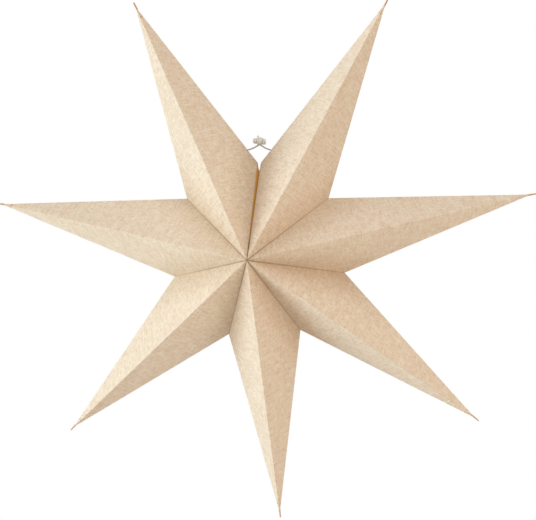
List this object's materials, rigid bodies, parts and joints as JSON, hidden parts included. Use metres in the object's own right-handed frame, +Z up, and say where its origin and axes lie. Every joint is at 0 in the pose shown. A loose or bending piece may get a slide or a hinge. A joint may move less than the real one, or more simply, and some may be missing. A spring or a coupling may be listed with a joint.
{
  "type": "paper snowflake star",
  "caption": "Folded linen-paper star lantern of hollow pointed arms, held open at its top seam by a knotted tie cord, that folds together like a fan.",
  "frame": {"origin": "Top of the tie cord's knot, the point that the star hangs from", "axes": "+Z up, -Y the star's front, +X to the right seen from the front; the star's own axis is parallel to Y"},
  "size_m": [0.5962, 0.1556, 0.5757],
  "materials": {
    "linen_paper": "matt paper faced with fine linen weave, off-white to light tan",
    "paper_flap": "matt uncoated back of the paper, amber brown",
    "cord": "matt twisted cotton cord, light warm grey"
  },
  "bodies": {
    "point_1_front_right": {"point_1_front_right": "linen_paper", "hem_first_front": "paper_flap", "tie_knot": "cord", "tie_cord_left": "cord"},
    "point_1_front_left": {"point_1_front_left": "linen_paper", "tip_tail_1": "paper_flap"},
    "point_1_back_right": {"point_1_back_right": "linen_paper", "hem_first_back": "paper_flap"},
    "point_1_back_left": {"point_1_back_left": "linen_paper"},
    "point_2_front_right": {"point_2_front_right": "linen_paper", "seam_1_flap_front": "paper_flap"},
    "point_2_front_left": {"point_2_front_left": "linen_paper", "tip_tail_2": "paper_flap"},
    "point_2_back_right": {"point_2_back_right": "linen_paper", "seam_1_flap_back": "paper_flap"},
    "point_2_back_left": {"point_2_back_left": "linen_paper"},
    "point_3_front_right": {"point_3_front_right": "linen_paper", "seam_2_flap_front": "paper_flap"},
    "point_3_front_left": {"point_3_front_left": "linen_paper", "tip_tail_3": "paper_flap"},
    "point_3_back_right": {"point_3_back_right": "linen_paper", "seam_2_flap_back": "paper_flap"},
    "point_3_back_left": {"point_3_back_left": "linen_paper"},
    "point_4_front_right": {"point_4_front_right": "linen_paper", "seam_3_flap_front": "paper_flap"},
    "point_4_front_left": {"point_4_front_left": "linen_paper", "tip_tail_4": "paper_flap"},
    "point_4_back_right": {"point_4_back_right": "linen_paper", "seam_3_flap_back": "paper_flap"},
    "point_4_back_left": {"point_4_back_left": "linen_paper"},
    "point_5_front_right": {"point_5_front_right": "linen_paper", "seam_4_flap_front": "paper_flap"},
    "point_5_front_left": {"point_5_front_left": "linen_paper", "tip_tail_5": "paper_flap"},
    "point_5_back_right": {"point_5_back_right": "linen_paper", "seam_4_flap_back": "paper_flap"},
    "point_5_back_left": {"point_5_back_left": "linen_paper"},
    "point_6_front_right": {"point_6_front_right": "linen_paper", "seam_5_flap_front": "paper_flap"},
    "point_6_front_left": {"point_6_front_left": "linen_paper", "tip_tail_6": "paper_flap"},
    "point_6_back_right": {"point_6_back_right": "linen_paper", "seam_5_flap_back": "paper_flap"},
    "point_6_back_left": {"point_6_back_left": "linen_paper"},
    "point_7_front_right": {"point_7_front_right": "linen_paper", "seam_6_flap_front": "paper_flap"},
    "point_7_front_left": {"point_7_front_left": "linen_paper", "tip_tail_7": "paper_flap", "hem_last_front": "paper_flap", "tie_cord_right": "cord"},
    "point_7_back_right": {"point_7_back_right": "linen_paper", "seam_6_flap_back": "paper_flap"},
    "point_7_back_left": {"point_7_back_left": "linen_paper", "hem_last_back": "paper_flap"}
  },
  "joints": [
    {"name": "ridge_1", "type": "hinge", "parent": "point_1_front_right", "child": "point_1_front_left", "pos_m": [0.00009, -0.07724, -0.12586], "axis": [0.4508, -0.2516, -0.8564], "range_deg": [0, 75.56]},
    {"name": "seam_1", "type": "hinge", "parent": "point_1_front_left", "child": "point_2_front_right", "pos_m": [0, -0.078, -0.12569], "axis": [-0.6385, 0.6208, 0.4549], "range_deg": [0, 101.64]},
    {"name": "ridge_2", "type": "hinge", "parent": "point_2_front_right", "child": "point_2_front_left", "pos_m": [0.00019, -0.07724, -0.12572], "axis": [0.9567, -0.2516, -0.1463], "range_deg": [0, 75.57]},
    {"name": "seam_2", "type": "hinge", "parent": "point_2_front_left", "child": "point_3_front_right", "pos_m": [0, -0.078, -0.12569], "axis": [-0.7453, 0.6208, -0.2433], "range_deg": [0, 101.64]},
    {"name": "ridge_3", "type": "hinge", "parent": "point_3_front_right", "child": "point_3_front_left", "pos_m": [0.00014, -0.07724, -0.12555], "axis": [0.6861, -0.2516, 0.6826], "range_deg": [0, 75.57]},
    {"name": "seam_3", "type": "hinge", "parent": "point_3_front_left", "child": "point_4_front_right", "pos_m": [0, -0.078, -0.12569], "axis": [-0.2471, 0.6208, -0.744], "range_deg": [0, 98.21]},
    {"name": "ridge_4", "type": "hinge", "parent": "point_4_front_right", "child": "point_4_front_left", "pos_m": [-0.00002, -0.0772, -0.12548], "axis": [-0.0991, -0.2516, 0.9627], "range_deg": [0, 71.14]},
    {"name": "seam_4", "type": "hinge", "parent": "point_4_front_left", "child": "point_5_front_right", "pos_m": [0, -0.078, -0.12569], "axis": [0.3936, 0.6208, -0.678], "range_deg": [0, 94.77]},
    {"name": "ridge_5", "type": "hinge", "parent": "point_5_front_right", "child": "point_5_front_left", "pos_m": [-0.00017, -0.0772, -0.12556], "axis": [-0.7868, -0.2516, 0.5636], "range_deg": [0, 71.14]},
    {"name": "seam_5", "type": "hinge", "parent": "point_5_front_left", "child": "point_6_front_right", "pos_m": [0, -0.078, -0.12569], "axis": [0.7686, 0.6208, -0.1544], "range_deg": [0, 95.95]},
    {"name": "ridge_6", "type": "hinge", "parent": "point_6_front_right", "child": "point_6_front_left", "pos_m": [-0.0002, -0.07722, -0.12573], "axis": [-0.9402, -0.2516, -0.2297], "range_deg": [0, 72.68]},
    {"name": "seam_6", "type": "hinge", "parent": "point_6_front_left", "child": "point_7_front_right", "pos_m": [0, -0.078, -0.12569], "axis": [0.6108, 0.6208, 0.4915], "range_deg": [0, 97.12]},
    {"name": "ridge_7", "type": "hinge", "parent": "point_7_front_right", "child": "point_7_front_left", "pos_m": [-0.00009, -0.07722, -0.12587], "axis": [-0.4255, -0.2516, -0.8693], "range_deg": [0, 72.68]},
    {"name": "edge_1_right", "type": "hinge", "parent": "point_1_front_right", "child": "point_1_back_right", "pos_m": [-0.0017, 0, -0.0272], "axis": [0.6372, 0, -0.7707], "range_deg": [0, 74.55]},
    {"name": "edge_1_left", "type": "hinge", "parent": "point_1_front_left", "child": "point_1_back_left", "pos_m": [-0.08023, 0, -0.06853], "axis": [-0.2747, 0, 0.9615], "range_deg": [0, 74.55]},
    {"name": "edge_2_right", "type": "hinge", "parent": "point_2_front_right", "child": "point_2_back_right", "pos_m": [-0.08023, 0, -0.06853], "axis": [0.9985, 0, 0.0545], "range_deg": [0, 74.55]},
    {"name": "edge_2_left", "type": "hinge", "parent": "point_2_front_left", "child": "point_2_back_left", "pos_m": [-0.09364, 0, -0.15626], "axis": [-0.9366, 0, 0.3504], "range_deg": [0, 74.55]},
    {"name": "edge_3_right", "type": "hinge", "parent": "point_3_front_right", "child": "point_3_back_right", "pos_m": [-0.09364, 0, -0.15626], "axis": [0.5494, 0, 0.8355], "range_deg": [0, 74.55]},
    {"name": "edge_3_left", "type": "hinge", "parent": "point_3_front_left", "child": "point_3_back_left", "pos_m": [-0.03105, 0, -0.21916], "axis": [-0.8383, 0, -0.5452], "range_deg": [0, 74.55]},
    {"name": "edge_4_right", "type": "hinge", "parent": "point_4_front_right", "child": "point_4_back_right", "pos_m": [-0.03105, 0, -0.21916], "axis": [-0.2886, 0, 0.9574], "range_deg": [0, 70.24]},
    {"name": "edge_4_left", "type": "hinge", "parent": "point_4_front_left", "child": "point_4_back_left", "pos_m": [0.04945, 0, -0.21087], "axis": [-0.0874, 0, -0.9962], "range_deg": [0, 70.24]},
    {"name": "edge_5_right", "type": "hinge", "parent": "point_5_front_right", "child": "point_5_back_right", "pos_m": [0.04945, 0, -0.21087], "axis": [-0.9084, 0, 0.4182], "range_deg": [0, 70.24]},
    {"name": "edge_5_left", "type": "hinge", "parent": "point_5_front_left", "child": "point_5_back_left", "pos_m": [0.09657, 0, -0.14509], "axis": [0.6882, 0, -0.7255], "range_deg": [0, 70.24]},
    {"name": "edge_6_right", "type": "hinge", "parent": "point_6_front_right", "child": "point_6_back_right", "pos_m": [0.09657, 0, -0.14509], "axis": [-0.9067, 0, -0.4217], "range_deg": [0, 71.74]},
    {"name": "edge_6_left", "type": "hinge", "parent": "point_6_front_left", "child": "point_6_back_left", "pos_m": [0.07674, 0, -0.06393], "axis": [0.999, 0, 0.044], "range_deg": [0, 71.74]},
    {"name": "edge_7_right", "type": "hinge", "parent": "point_7_front_right", "child": "point_7_back_right", "pos_m": [0.07674, 0, -0.06393], "axis": [-0.2567, 0, -0.9665], "range_deg": [0, 71.74]},
    {"name": "edge_7_left", "type": "hinge", "parent": "point_7_front_left", "child": "point_7_back_left", "pos_m": [0.0017, 0, -0.0272], "axis": [0.6059, 0, 0.7956], "range_deg": [0, 71.74]}
  ],
  "couplings": [
    {"joint": "seam_1", "follows": "ridge_1", "ratio": 1.345},
    {"joint": "ridge_2", "follows": "ridge_1", "ratio": 1},
    {"joint": "seam_2", "follows": "ridge_1", "ratio": 1.345},
    {"joint": "ridge_3", "follows": "ridge_1", "ratio": 1},
    {"joint": "seam_3", "follows": "ridge_1", "ratio": 1.2996},
    {"joint": "ridge_4", "follows": "ridge_1", "ratio": 0.94141},
    {"joint": "seam_4", "follows": "ridge_1", "ratio": 1.2541},
    {"joint": "ridge_5", "follows": "ridge_1", "ratio": 0.94141},
    {"joint": "seam_5", "follows": "ridge_1", "ratio": 1.2696},
    {"joint": "ridge_6", "follows": "ridge_1", "ratio": 0.96169},
    {"joint": "seam_6", "follows": "ridge_1", "ratio": 1.2852},
    {"joint": "ridge_7", "follows": "ridge_1", "ratio": 0.96169},
    {"joint": "edge_1_right", "follows": "ridge_1", "ratio": 0.98651},
    {"joint": "edge_1_left", "follows": "ridge_1", "ratio": 0.98651},
    {"joint": "edge_2_right", "follows": "ridge_1", "ratio": 0.98651},
    {"joint": "edge_2_left", "follows": "ridge_1", "ratio": 0.98651},
    {"joint": "edge_3_right", "follows": "ridge_1", "ratio": 0.98651},
    {"joint": "edge_3_left", "follows": "ridge_1", "ratio": 0.98651},
    {"joint": "edge_4_right", "follows": "ridge_1", "ratio": 0.92948},
    {"joint": "edge_4_left", "follows": "ridge_1", "ratio": 0.92948},
    {"joint": "edge_5_right", "follows": "ridge_1", "ratio": 0.92948},
    {"joint": "edge_5_left", "follows": "ridge_1", "ratio": 0.92948},
    {"joint": "edge_6_right", "follows": "ridge_1", "ratio": 0.94925},
    {"joint": "edge_6_left", "follows": "ridge_1", "ratio": 0.94925},
    {"joint": "edge_7_right", "follows": "ridge_1", "ratio": 0.94925},
    {"joint": "edge_7_left", "follows": "ridge_1", "ratio": 0.94925}
  ]
}
